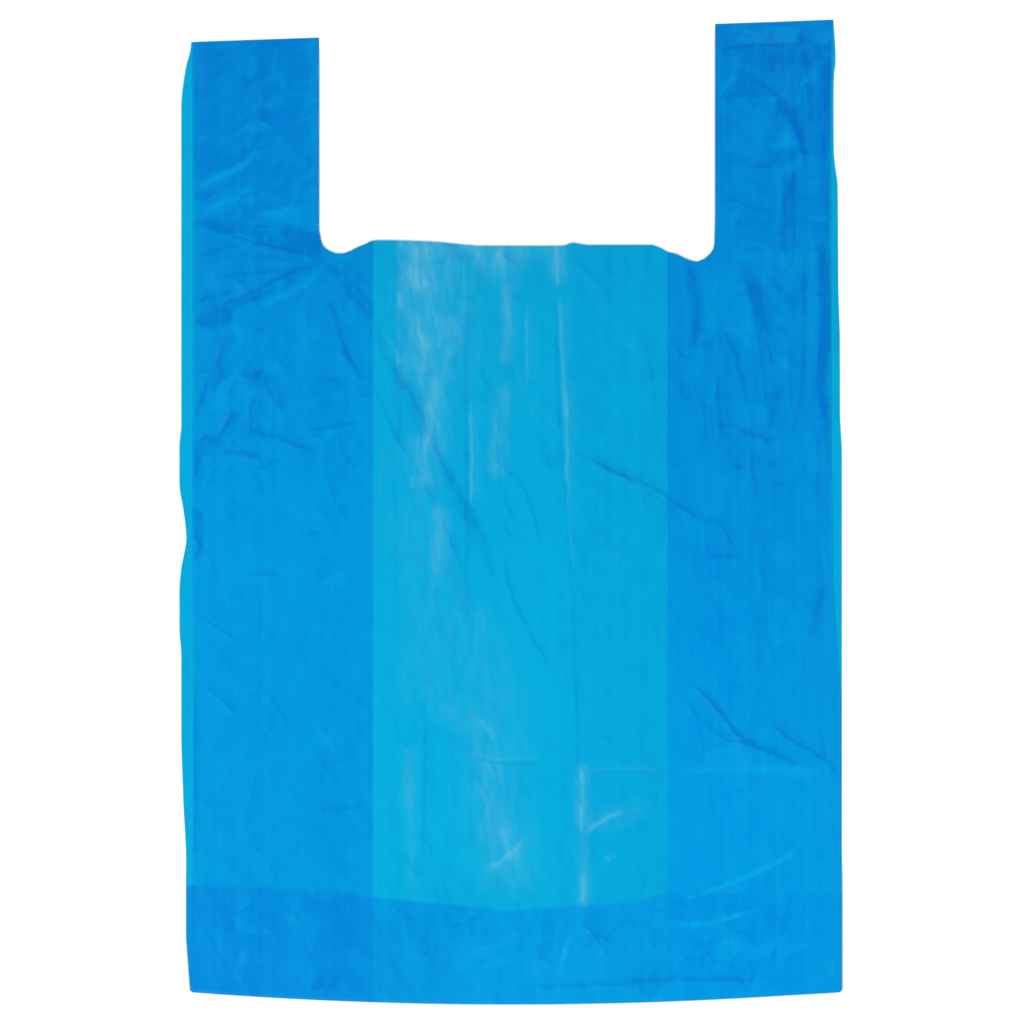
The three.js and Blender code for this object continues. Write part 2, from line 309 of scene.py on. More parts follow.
    (1.0, 0.4, [(219, 44), (227, 34), (234, 26)]),
    (1.0, -0.35, [(250, 35), (258, 44), (263, 49)]),
    (1.0, -0.5, [(328, 26), (335, 31), (344, 34)]),
    (1.0, 0.5, [(277, 35), (285, 31), (291, 21)]),
    (0.9, 0.4, [(298, 41), (307, 38), (314, 30)]),
    # painted highlights along ridges of the middle
    (0.8, -0.5, [(154, 412), (154, 384), (155, 359)]),
    (0.7, -0.5, [(188, 384), (188, 357), (188, 334)]),
    (0.9, -0.9, [(157, 332), (158, 302), (158, 267)]),
    (1.2, -0.8, [(204, 413), (205, 389)]),
    (1.0, -0.7, [(206, 389), (207, 359), (208, 334)]),
    (1.2, -0.6, [(208, 340), (210, 318)]),
    (0.8, -0.5, [(210, 329), (210, 279)]),
    (1.3, -0.9, [(218, 129), (218, 120)]),
    (1.3, -0.8, [(218, 112), (218, 93)]),
    (1.3, -0.7, [(219, 74), (219, 54)]),
    (1.4, -1.0, [(187, 92), (181, 84), (174, 78), (165, 75)]),
    (0.9, 0.5, [(163, 412), (162, 397), (162, 384)]),
    (0.9, 0.5, [(166, 305), (176, 292), (187, 280), (197, 248)]),
    (0.9, 0.4, [(216, 301), (235, 291), (250, 282), (267, 270)]),
]

# Places where the front panel is folded over itself or lies doubled, which are darker, and painted
# highlights, whose depth is below zero: (depth, outline), placed as above.
PATCHES = [
    # left handle and under it
    (0.75, [(46, 422), (65, 421), (75, 420), (76, 414), (77, 405), (66, 408), (56, 411), (44, 414),
            (38, 418)]),
    (0.65, [(7, 429), (19, 426), (32, 424), (44, 422), (38, 419), (26, 421), (13, 423), (7, 423)]),
    (0.6, [(7, 374), (20, 377), (31, 382), (42, 386), (50, 390), (47, 387), (37, 382), (28, 377),
           (27, 372), (20, 369), (11, 369), (7, 371)]),
    (0.4, [(7, 384), (19, 386), (28, 389), (26, 386), (16, 383), (7, 382)]),
    (0.45, [(79, 404), (84, 398), (93, 386), (105, 371), (105, 381), (93, 395), (84, 402)]),
    (0.4, [(81, 382), (86, 363), (96, 342), (90, 358), (85, 371)]),
    (0.7, [(7, 318), (8, 326), (13, 339), (15, 342), (13, 329), (9, 320)]),
    (0.75, [(6, 272), (12, 268), (13, 259), (11, 245), (7, 241), (9, 250), (6, 261)]),
    # right handle and under it
    (0.45, [(293, 519), (299, 522), (310, 522.5), (323, 523), (335, 525), (337, 529), (339, 528),
            (340, 517), (342, 506), (339, 508), (335, 513), (330, 512), (326, 508), (318, 508),
            (310, 512), (306, 512), (301, 513), (296, 516)]),
    (0.4, [(295, 492), (302, 502), (306, 509), (314, 503), (325, 495), (323, 494), (310, 495),
           (299, 492)]),
    (0.25, [(273, 405), (280, 405), (283, 389), (284, 373), (281, 357), (276, 359), (277, 378)]),
    (0.5, [(345, 388), (354, 388), (354, 357), (348, 353), (347, 368), (348, 378)]),
    # right handle
    (0.5, [(322, 495), (329, 493), (335, 479), (339, 473), (340, 462), (338, 462), (335, 473),
        (331, 481), (325, 491)]),
    (0.4, [(347, 523), (354, 525), (354, 509), (353, 449), (353, 417), (350, 417), (348, 449),
        (350, 493), (348, 509)]),
    (0.5, [(332, 466), (335, 466), (334, 446), (335, 430), (334, 412), (327, 411), (326, 430),
        (328, 446)]),
    (-0.2, [(295, 491), (304, 494), (322, 494), (327, 486), (328, 479), (321, 466), (307, 461),
        (295, 466)]),
    (-0.35, [(307, 532), (337, 533), (336, 524), (321, 523), (307, 522), (302, 523)]),
    (-0.35, [(327, 488), (332, 483), (335, 475), (332, 472), (325, 464), (321, 461), (324, 474)]),
    (-0.4, [(344, 531), (353, 532), (354, 523), (348, 522), (344, 525)]),
    (-0.3, [(339, 509), (341, 506), (344, 493), (341, 479), (339, 487)]),
    # left handle
    (0.3, [(7, 468), (13, 470), (23, 468), (21, 459), (15, 454), (7, 456)]),
    (0.25, [(32, 466), (39, 474), (53, 475), (50, 468), (40, 464)]),
    (0.35, [(7, 443), (13, 443), (17, 441), (14, 438), (7, 438)]),
    (0.3, [(45, 435), (51, 438), (59, 437), (56, 433), (47, 433)]),
    (-0.3, [(26, 472), (36, 479), (50, 480), (44, 476), (32, 473)]),
    (-0.3, [(43, 488), (47, 495), (54, 501), (58, 503), (56, 495), (48, 489)]),
    (-0.35, [(8, 444), (15, 449), (23, 454), (40, 462), (36, 457), (27, 451), (16, 446)]),
    (-0.3, [(30, 441), (35, 445), (48, 446), (42, 443)]),
    (-0.35, [(11, 430), (18, 437), (32, 439), (28, 434), (18, 430)]),
    (-0.3, [(44, 431), (54, 435), (74, 435), (75, 421), (63, 424), (50, 427)]),
    (-0.2, [(70, 526), (75, 526), (75, 419), (72, 425), (70, 466)]),
    # right, below the handle
    (0.3, [(306, 401), (311, 393), (313, 373), (315, 360), (319, 348), (322, 348), (320, 360),
        (318, 373), (316, 389), (311, 400)]),
    (0.5, [(329, 417), (333, 417), (334, 405), (332, 400), (328, 408)]),
    (0.15, [(319, 397), (323, 397), (332, 388), (335, 383), (332, 381), (325, 386)]),
    (0.95, [(350, 389), (353, 389), (353, 371), (351, 358), (351, 340), (352, 319), (349, 319),
        (346, 340), (347, 358), (349, 371)]),
    (-0.3, [(340, 411), (347, 411), (347, 384), (345, 357), (341, 362)]),
    (-0.25, [(283, 400), (303, 405), (309, 389), (311, 368), (309, 357), (300, 365), (285, 368)]),
    # left side and middle
    (-0.25, [(22, 340), (29, 340), (26, 329), (19, 323), (15, 324), (18, 332)]),
    (0.45, [(7, 308), (14, 309), (22, 308), (25, 305), (17, 303), (11, 297), (8, 288), (7, 288)]),
    (0.3, [(47, 345), (53, 341), (59, 328), (55, 322), (49, 331), (44, 339)]),
    (0.3, [(104, 374), (115, 353), (124, 340), (134, 315), (149, 288), (163, 254), (174, 231),
        (169, 233), (157, 255), (143, 286), (129, 313), (118, 337), (108, 356)]),
    # lower right and turned-up bottom
    (-0.9, [(258, 54), (283, 61), (304, 70), (321, 78), (335, 85), (332, 80), (315, 71), (293, 63),
        (272, 56)]),
    (-0.35, [(283, 128), (286, 138), (298, 140), (311, 137), (310, 129)]),
    (-0.3, [(327, 124), (333, 129), (347, 129), (345, 124)]),
    (0.22, [(265, 58), (283, 59), (303, 61), (303, 53), (291, 47), (277, 45), (265, 49)]),
    (-0.5, [(277, 45), (295, 48), (315, 54), (314, 51), (296, 46), (278, 42)]),
    (-0.3, [(283, 33), (299, 36), (311, 33), (324, 35), (321, 27), (304, 23), (289, 26)]),
]

# Zones of small random creases, placed as above: (count, across, up, lean, spread of the lean,
# shortest, longest). A lean of 0 is lengthwise, and above zero the crease runs down to the right.
ZONES = [
    (60, (8, 106), (15, 405), 0.5, 0.35, 9, 42),
    (50, (106, 264), (60, 400), 0.45, 0.3, 9, 42),
    (60, (264, 351), (60, 405), 0.1, 0.3, 9, 42),
    (40, (10, 100), (330, 400), -1.0, 0.5, 6, 20),
    (26, (10, 100), (285, 345), 1.2, 0.6, 5, 16),
    (55, (8, 73), (425, 525), -1.05, 0.3, 6, 24),
    (34, (294, 351), (465, 530), 0.4, 0.9, 7, 22),
    (34, (294, 351), (420, 470), 1.5, 0.25, 6, 22),
    (60, (302, 352), (280, 420), 1.5, 0.35, 4, 13),
    (26, (120, 200), (330, 410), 0.6, 0.5, 5, 16),
    (30, (110, 265), (12, 50), -0.9, 0.5, 8, 22),
    (44, (265, 355), (12, 58), -0.9, 0.9, 4, 14),
]

# Painted milky sheen, light reflected off the film where the two middle layers don't touch: (width, amount,
# points), placed as above.
MILKY_SHEEN = [
    (20, 0.3, [(134, 414), (135, 384), (135, 357)]),
    (5, 0.3, [(120, 414), (140, 413), (165, 411), (200, 412)]),
    (6, 0.5, [(126, 412), (130, 392), (132, 374)]),
    (6, 0.5, [(133, 364), (136, 345), (137, 320), (140, 305)]),
    (1.2, 0.45, [(119, 396), (119, 350)]),
    (2.5, 0.25, [(150, 372), (147, 355)]),
    (5, 0.45, [(131, 305), (133, 288)]),
    (4, 0.45, [(140, 267), (141, 238)]),
    (9, 0.4, [(163, 414), (175, 405)]),
    (3, 0.4, [(178, 390), (178, 353)]),
    (4, 0.35, [(174, 332), (172, 292)]),
    (4, 0.5, [(204, 413), (205, 400)]),
    (16, 0.08, [(119, 286), (136, 221), (133, 177)]),
    (14, 0.1, [(157, 206), (171, 172), (174, 144)]),
    (4, 0.12, [(124, 136), (124, 112)]),
    (9, 0.12, [(150, 160), (160, 150), (166, 128)]),
    (12, 0.28, [(168, 114), (174, 95), (178, 78)]),
    (3, 0.35, [(218, 128), (219, 57)]),
    (5, 0.1, [(230, 98), (250, 107)]),
]

# The outer folds: (place before it is drawn in, side of the box, direction inwards, offsets).
FOLDS = {
    "back_left": (LEFT, LEFT, 1, BACK_LEFT_FOLD),
    "front_left": (FRONT_LEFT, LEFT, 1, FRONT_LEFT_FOLD),
    "back_right": (RIGHT, RIGHT, -1, BACK_RIGHT_FOLD),
    "front_right": (FRONT_RIGHT, RIGHT, -1, FRONT_RIGHT_FOLD),
}

# The film's colours along the bag, (height as a share, red, green, blue): the middle, the left side
# and the right side. The sides are darker for their extra layers. All three grow darker towards the
# top and the handles: that is painted shade, where the light falls off.
LAYER_AND_SHADE_TONES = [
    [(0.00, 6, 170, 217), (0.30, 5, 171, 219), (0.50, 4, 168, 217), (0.78, 6, 163, 213)],
    [
        (0.00, 1, 149, 218), (0.30, 1, 149, 219), (0.45, 1, 150, 220), (0.70, 1, 143, 215),
        (0.90, 1, 131, 212),
    ],
    [
        (0.00, 1, 155, 228), (0.20, 1, 153, 225), (0.45, 1, 144, 220), (0.70, 1, 141, 215),
        (0.90, 1, 133, 213),
    ],
]


# --- Curves and noise --------------------------------------------------------------------------------


def smooth_step(value):
    """0 below 0 and 1 above 1, with a smooth rise between them."""
    value = np.clip(value, 0, 1)
    return value * value * (3 - 2 * value)


def fade(distance, reach):
    """1 at no distance, falling smoothly to 0 at `reach`."""
    return 1 - smooth_step(np.abs(distance) / reach)


def bell(distance, width):
    """1 at no distance, and 1/e at `width`."""
    return np.exp(-(distance / width) ** 2)


def through(points, at):
    """A smooth curve through (place, value) points that doesn't swing past them, read at `at`."""
    places, values = np.array(points, float).T
    rises = np.diff(values) / np.diff(places)
    before, after = rises[:-1], rises[1:]
    level = before * after <= 0
    bends = np.where(level, 0, 2 * before * after / np.where(level, 1, before + after))
    slopes = np.concatenate([rises[:1], bends, rises[-1:]])
    i = np.clip(np.searchsorted(places, at) - 1, 0, len(places) - 2)
    span = places[i + 1] - places[i]
    t = np.clip((at - places[i]) / span, 0, 1)
    near = (1 + 2 * t) * (1 - t) ** 2 * values[i] + t * (1 - t) ** 2 * span * slopes[i]
    far = t * t * (3 - 2 * t) * values[i + 1] + t * t * (t - 1) * span * slopes[i + 1]
    return near + far


def bent_line(points, step=3.0):
    """A Catmull-Rom curve through a table's points, as points about `step` apart in the frame."""
    points = np.array(points, float)
    ends = np.vstack([2 * points[0] - points[1], points, 2 * points[-1] - points[-2]])
    line = []
    for a, b, c, d in zip(ends, ends[1:], ends[2:], ends[3:]):
        pieces = max(1, round(np.linalg.norm(c - b) / step))
        for t in np.arange(pieces) / pieces:
            cubic = 2 * b + (c - a) * t + (2 * a - 5 * b + 4 * c - d) * t**2
            line.append((cubic + (3 * b - a - 3 * c + d) * t**3) / 2)
    return np.array(line + [points[-1]]) + (LEFT, LOW_END)


def hills(x, y, size_x, size_y, seed):
    """Smooth random hills between -1 and 1, about size_x by size_y each."""
    count = 128
    table = np.random.default_rng(seed).uniform(-1, 1, (count, count))
    u, v = x / size_x + count / 2, y / size_y + count / 2
    i, j = np.floor(u).astype(int), np.floor(v).astype(int)
    s, t = smooth_step(u - i), smooth_step(v - j)
    low = table[i % count, j % count] * (1 - s) + table[(i + 1) % count, j % count] * s
    high = table[i % count, (j + 1) % count] * (1 - s) + table[(i + 1) % count, (j + 1) % count] * s
    return low * (1 - t) + high * t


def distance_to(line, x, y):
    """Signed distance of points to a polyline, and how far along it they are, from 0 to 1."""
    best = np.full(x.shape, np.inf)
    signed, along = np.zeros((2, *x.shape))
    lengths = np.linalg.norm(np.diff(line, axis=0), axis=1)
    done, total = 0.0, lengths.sum()
    for start, end, length in zip(line, line[1:], lengths):
        direction = (end - start) / length
        off_x, off_y = x - start[0], y - start[1]
        run = np.clip(off_x * direction[0] + off_y * direction[1], 0, length)
        gap = np.hypot(off_x - run * direction[0], off_y - run * direction[1])
        side = np.sign(direction[0] * off_y - direction[1] * off_x)
        nearer = gap < best
        best = np.where(nearer, gap, best)
        signed = np.where(nearer, gap * side, signed)
        along = np.where(nearer, (done + run) / total, along)
        done += length
    return signed, along


# --- The grid of the film ----------------------------------------------------------------------------


def steps(start, end, step):
    """Evenly spaced places from start to end."""
    return np.linspace(start, end, round(abs(end - start) / step) + 1)


def from_cut(cut, end, step):
    """Places from a handle's inner edge to `end`, close together at first."""
    first = cut + math.copysign(1, end - cut) * BESIDE_CUT
    return np.concatenate([first[:-1], steps(first[-1], end, step)])


def panel_across(start, cut, other_cut, end, step):
    """Columns of the front or back panel, from fold to fold, past both handles' inner edges."""
    middle = (cut + other_cut) / 2
    mouth = np.concatenate([from_cut(cut, middle, step), from_cut(other_cut, middle, step)[-2::-1]])
    return np.concatenate([steps(start, cut, step), mouth[1:], steps(other_cut, end, step)[1:]])


def leaf_across(outer, cut, tuck):
    """Columns of a gusset's leaf, from its outer fold to its inner one."""
    return np.concatenate([steps(outer, cut, LEAF_STEP), from_cut(cut, tuck, LEAF_STEP)[1:]])


def panel_columns():
    """Each panel around the tube: (places of its columns, number of its layer, first fold, last fold).

    A panel's last column is the next panel's first one.
    """
    front = panel_across(FRONT_LEFT, CUT_LEFT, CUT_RIGHT, FRONT_RIGHT, FINE)
    return [
        (front, FRONT_LAYER, "front_left", "front_right"),
        (leaf_across(FRONT_RIGHT, CUT_RIGHT, TUCK_RIGHT), 2, "front_right", "tuck"),
        (leaf_across(RIGHT, CUT_RIGHT, TUCK_RIGHT)[::-1], 1, "tuck", "back_right"),
        (panel_across(RIGHT, CUT_RIGHT, CUT_LEFT, LEFT, BACK_STEP), 0, "back_right", "back_left"),
        (leaf_across(LEFT, CUT_LEFT, TUCK_LEFT), 1, "back_left", "tuck"),
        (leaf_across(FRONT_LEFT, CUT_LEFT, TUCK_LEFT)[::-1], 2, "tuck", "front_left"),
    ]


def even_rows(start, end):
    """Rows about FINE apart, in an even number of steps, since most panels have every other row."""
    return np.linspace(start, end, 2 * round(abs(end - start) / FINE / 2) + 1)


def rows_along():
    """Each row's height before it is askew, its turn, and the number of the row at the mouth.

    The turn is pi on the turned-up bottom and 0 on the bag.
    """
    bend_start = BOTTOM + STACK + TURN_GAP
    flap = even_rows(BOTTOM + FLAP, bend_start)
    bend = np.linspace(math.pi, 0, TURN_ROWS + 1)[1:-1]
    body = even_rows(bend_start, CUT_START)
    handles = even_rows(CUT_START, TOP)[1:]
    heights = np.concatenate([flap, np.full(len(bend), flap[-1]), body, handles])
    turns = np.concatenate([np.full(len(flap), math.pi), bend, np.zeros(len(body) + len(handles))])
    return heights, turns, len(flap) + len(bend) + len(body) - 1


def askew(x, y):
    """Height of a place on the bag after its bottom has bowed and its handles' tops have tilted."""
    across = x / HALF_WIDTH
    low = 1 - smooth_step((y - BOTTOM - BOW_START) / BOW_FADE)
    high = smooth_step((y - TOP + SLOPE_FADE) / SLOPE_RISE)
    return y - BOTTOM_BOW * (1 - across * across) * low + TOP_SLOPE * x * high


def between_handles(x):
    """Whether a column lies between the handles, and not on the edge of one."""
    return (x > CUT_LEFT + 0.01) & (x < CUT_RIGHT - 0.01)


def mouth_drop(x):
    """How far the mouth's edge lies from the straight row at its height, and 0 beside the mouth."""
    edge = LOW_END + through(MOUTH, np.clip(x - LEFT, MOUTH[0][0], MOUTH[-1][0]))
    return np.where(between_handles(x), edge - askew(x, CUT_START), 0)


def to_mouth(x, y_before, y):
    """Bends the rows below the mouth to its edge, more and more smoothly further down."""
    below = np.maximum(CUT_START - y_before, 0)
    spread = np.linspace(-MOUTH_SPREAD, MOUTH_SPREAD, 9)
    drop = sum(mouth_drop(x + share * below) for share in spread) / len(spread)
    return y + drop * smooth_step(1 - below / SHEAR)


def fold_place(name, y):
    """Where an outer fold lies across the bag at height y."""
    _, side, inwards, offsets = FOLDS[name]
    return side + inwards * through(offsets, y - LOW_END)


def draw_in(x, y, folds):
    """Moves a panel's places so that its ends lie on its folds, which aren't quite straight."""
    moved = x.copy()
    for name in folds:
        if name in FOLDS:
            straight = FOLDS[name][0]
            moved += (fold_place(name, y) - straight) * fade(x - straight, DRAWN_IN)
    return moved


def flap_edge(x):
    """Height at which the turned-up bottom ends behind."""
    return LOW_END + through(FLAP_EDGE, np.clip(x - LEFT, FLAP_EDGE[0][0], FLAP_EDGE[-1][0]))


# --- Relief ------------------------------------------------------------------------------------------


def from_outline(x, y):
    """How far a place lies inside the front panel's outline."""
    inside = np.minimum(x - fold_place("front_left", y), fold_place("front_right", y) - x)
    inside = np.minimum(inside, askew(x, TOP) - y)
    above_tops = 600
    cut = [(MOUTH[0][0], above_tops), *MOUTH, (MOUTH[-1][0], above_tops)]
    to_cut, _ = distance_to(np.array(cut) + (LEFT, LOW_END), x, y)
    return np.clip(np.minimum(inside, np.abs(to_cut)), 0, 100)


def swell(x, y, inside):
    """How far the whole stack of layers stands off the floor."""
    wide = 0.9 * hills(x, y, 70, 110, seed=3)
    long = 0.5 * hills(x, y, 34, 150, seed=4)
    return np.clip(0.6 + wide + long, 0, 2.4) * smooth_step((inside + 2) / 32)


def scattered_creases():
    """Small random creases in each of the zones, as rows like those of CREASES."""
    rng = np.random.default_rng(11)
    found = []
    for count, across, up, lean, spread, shortest, longest in ZONES:
        for _ in range(count):
            middle = np.array([rng.uniform(*across), rng.uniform(*up)])
            turned = rng.normal(lean, spread)
            half = rng.uniform(shortest, longest) / 2 * np.array([math.sin(turned), -math.cos(turned)])
            bend = rng.normal(0, 0.15) * np.array([half[1], -half[0]])
            depth = rng.uniform(0.1, 0.38) * rng.choice([1, 1, -1])
            if depth < 0 and TUCK_LEFT - LEFT < middle[0] < TUCK_RIGHT - LEFT:
                depth *= 0.3  # a pale ridge's painted highlight hardly shows where the film is pale
            found.append((rng.uniform(0.5, 1.0), depth, [middle - half, middle + bend, middle + half]))
    return found


def front_relief(x, y):
    """Ribs, crumples and drape of the front panel above the layers under it."""
    on_handle = smooth_step((y - CUT_START + 60) / 60)
    at_side = smooth_step((np.maximum(TUCK_LEFT - x, x - TUCK_RIGHT) + 6) / 12)
    ribs = 0.12 * hills(x, y, 7, 160, seed=21) * (0.4 + at_side)
    crumple = 0.35 * hills(x + 0.5 * y, y, 13, 20, seed=22) * (0.3 + on_handle)
    drape = 0.25 * hills(x - 0.6 * y, y, 16, 60, seed=23)
    return 0.45 + ribs + crumple + drape


def draw_creases(creases, x, y):
    """Each crease's relief, and what the material needs to draw it finer than the mesh is.

    A fine crease takes one channel: the distance to it in its own widths, and its depth there.
    Creases that share a channel lie clear of each other. The broad ones are a soft painted shade or
    highlight instead. Each crease also paints shade, or light for a pale ridge, on one side of it, as on
    a facet tilted from the light.
    """
    relief, shade = np.zeros((2, len(x)))
    near = np.full((CHANNELS, len(x)), FAR)
    depths = np.zeros((CHANNELS, len(x)))
    taken = np.zeros((CHANNELS, len(x)), bool)
    for width, depth, points in creases:
        line = bent_line(points)
        reach = max(3.2, 2.6 * width)
        margin = reach + 3
        low, high = line.min(axis=0) - margin, line.max(axis=0) + margin
        around = np.flatnonzero((x > low[0]) & (x < high[0]) & (y > low[1]) & (y < high[1]))
        signed, along = distance_to(line, x[around], y[around])
        close = np.abs(signed) < margin
        around, signed, along = around[close], signed[close], along[close]
        taper = smooth_step(np.minimum(along, 1 - along) / TAPERED_SHARE)
        ridge = bell(signed, max(width, NARROWEST_RIDGE))
        relief[around] += 0.55 * abs(depth) * taper * ridge
        # Painted shade on one side of the crease, or painted light beside a pale ridge, as on a facet tilted
        # from the light.
        painted_side_shade = bell(np.maximum(signed, 0), 5) * smooth_step((signed + 1) / 2)
        shade[around] += 0.22 * depth * taper * painted_side_shade
        free = [c for c in range(CHANNELS) if not taken[c, around].any()]
        if width > WIDEST_FINE or not free:
            shade[around] += depth * taper * ridge
            continue
        channel = free[0]
        taken[channel, around] = True
        near[channel, around] = signed / width
        depths[channel, around] = np.where(np.abs(signed) < reach, depth * taper, 0)
    return relief, shade, near, depths


def patches_at(x, y):
    """How far each place lies inside the nearest patch, and that patch's depth."""
    inside = np.full(x.shape, -FAR)
    depths = np.zeros(x.shape)
    for depth, outline in PATCHES:
        corners = np.array(outline, float) + (LEFT, LOW_END)
        closed = np.vstack([corners, corners[:1]])
        gap, _ = distance_to(closed, x, y)
        crossings = np.zeros(x.shape, int)
        for (x0, y0), (x1, y1) in zip(closed, closed[1:]):
            if y0 != y1:
                spans = (y0 > y) != (y1 > y)
                crossings += spans & (x < x0 + (y - y0) / (y1 - y0) * (x1 - x0))
        within = np.where(crossings % 2 == 1, np.abs(gap), -np.abs(gap))
        nearer = within > inside
        inside = np.where(nearer, within, inside)
        depths = np.where(nearer & (within > -PATCH_MARGIN), depth, depths)
    return inside, depths


def milky_sheen_at(x, y):
    """How much painted milky sheen, light reflected off the film, shows. On the upper half, it ends sharply
    at a line along the bag.
    """
    amount = np.zeros(x.shape)
    for width, strength, points in MILKY_SHEEN:
        signed, _ = distance_to(bent_line(points, step=6), x, y)
        amount += strength * bell(signed, width)
    upper = smooth_step((y - LOW_END - SHEEN_LINE_START) / 30)
    left_of_line = 1 - smooth_step((x - LEFT - SHEEN_LINE) / 2)
    return np.clip(amount * (1 - 0.9 * upper * left_of_line), 0, 1.2)


# --- The mesh ----------------------------------------------------------------------------------------


class Film:
    """The film's vertices, faces and what the material reads at each vertex."""

    def __init__(self):
        self.heights, self.turns, self.mouth_row = rows_along()
        self.lay_columns()
        self.place_vertices()
        self.join_faces()

    def lay_columns(self):
        """Columns around the tube. The front panel and its folds have every row, the rest every other."""
        panels = panel_columns()
        columns = []
        self.panels = []
        done = 0.0
        for number, (places, layer, *folds) in enumerate(panels):
            before = panels[number - 1][1]
            self.panels.append({"start": len(columns), "girth": done, "folds": folds})
            at_fold = (places[0], (layer + before) / 2, FRONT_LAYER in (layer, before), number, done)
            columns.append(at_fold)
            for place in places[1:-1]:
                girth = done + abs(place - places[0])
                columns.append((place, layer, layer == FRONT_LAYER, number, girth))
            done += abs(places[-1] - places[0])
        self.girth_total = done
        self.across, self.layer, fine, owner, self.girth = np.array(columns, float).T
        self.fine = fine > 0
        self.owner = owner.astype(int)

    def place_vertices(self):
        """Every vertex's place, and the index of the one at each column and row, or -1."""
        columns, rows = len(self.across), len(self.heights)
        column, row = np.meshgrid(np.arange(columns), np.arange(rows), indexing="ij")
        cut_out = between_handles(self.across)[column] & (row > self.mouth_row)
        kept = (self.fine[column] | (row % 2 == 0)) & ~cut_out
        self.index = np.full((columns, rows), -1)
        self.index[kept] = np.arange(kept.sum())
        self.column, self.row = column[kept], row[kept]

        before = self.heights[self.row]
        across = self.across[self.column]
        x = across.copy()
        y = askew(x, before)
        for number, panel in enumerate(self.panels):
            mine = self.owner[self.column] == number
            x[mine] = draw_in(x[mine], y[mine], panel["folds"])
        y = to_mouth(across, before, y)
        self.flat = np.stack([x, y])
        self.mark(x, y)
        self.lift(x, y)

    def mark(self, x, y):
        """What the material reads, and the creases' relief. Creases and patches are on the front panel."""
        self.front = np.flatnonzero((self.layer[self.column] > 2) & (self.turns[self.row] == 0))
        there = x[self.front], y[self.front]
        self.shade, self.patch_depth, self.relief = np.zeros((3, len(x)))
        self.patch = np.full(len(x), -FAR)
        self.near = np.full((CHANNELS, len(x)), FAR)
        self.depths = np.zeros((CHANNELS, len(x)))
        self.milky_sheen = milky_sheen_at(x, y)
        self.patch[self.front], self.patch_depth[self.front] = patches_at(*there)
        relief, shade, near, depths = draw_creases(CREASES + scattered_creases(), *there)
        self.relief[self.front] = relief + front_relief(*there)
        self.shade[self.front] = shade
        self.near[:, self.front] = near
        self.depths[:, self.front] = depths

    def lift(self, x, y):
        """Lays the layers on each other."""
        turn, layer = self.turns[self.row], self.layer[self.column]
        on_bag = turn == 0
        turned_up = turn == math.pi
        over_flap = smooth_step((flap_edge(x) + 26 - y) / 30)
        base = over_flap * (TURN_CENTRE + TURN_GAP / 2 - CLEARANCE)
        above_fold = smooth_step((y - BOTTOM - 4) / 25)
        inside = from_outline(x, y)
        weld = fade(np.minimum(0, y - askew(x, TOP)), WELD_FADE)
        pressed = 1 - PRESSED * weld
        z = CLEARANCE + base + layer * LAYER * pressed
        z += swell(x, y, inside) * above_fold * (1 - 0.6 * over_flap) * pressed
        relief = self.relief * (0.1 + 0.9 * smooth_step(inside / 9))
        relief[self.front] += FRONT_LIFT
        z += relief * (0.25 + 0.75 * above_fold) * pressed

        reach = TURN_GAP / 2 + layer * LAYER
        z_bend = TURN_CENTRE + np.cos(turn) * reach
        weld = fade(self.heights[0] - self.heights[self.row], WELD_FADE)
        z_flap = z_bend + (CLEARANCE + STACK / 2 - z_bend) * weld * PRESSED
        z_flap += 0.25 * hills(x, y, 22, 30, seed=31) * (1 - weld)
        z = np.where(on_bag, z, np.where(turned_up, z_flap, z_bend))
        self.points = np.stack([x, y - np.sin(turn) * reach, np.maximum(z, LOWEST_FILM)], axis=1)

    def join_faces(self):
        """Quads within a panel, and five-sided faces beside a fold where the rows change."""
        columns, rows = self.index.shape
        self.faces, panel_of = [], []
        for here in range(columns):
            there = (here + 1) % columns
            left, right = self.index[here], self.index[there]
            if self.fine[here] and self.fine[there]:
                low = np.arange(rows - 1)
                corners = [left[low], right[low], right[low + 1], left[low + 1]]
            else:
                low = np.arange(0, rows - 2, 2)
                corners = [left[low], right[low]]
                if self.fine[there]:
                    corners.append(right[low + 1])
                corners += [right[low + 2], left[low + 2]]
                if self.fine[here]:
                    corners.append(left[low + 1])
            found = np.stack(corners, axis=1)
            found = found[(found >= 0).all(axis=1)]
            self.faces.extend(found.tolist())
            panel_of.extend([self.owner[here]] * len(found))
        self.panel_of = np.array(panel_of)


def read_numbers(items, name, width=1):
    """A whole-number property of every item of a mesh."""
    values = np.zeros(width * len(items), int)
    items.foreach_get(name, values)
    return values


def add_attribute(mesh, name, values):
    """Stores a number or a vector at each vertex."""
    values = np.asarray(values, np.float32)
    kind, field = ("FLOAT", "value") if values.ndim == 1 else ("FLOAT_VECTOR", "vector")
    mesh.attributes.new(name, kind, "POINT").data.foreach_set(field, values.ravel())


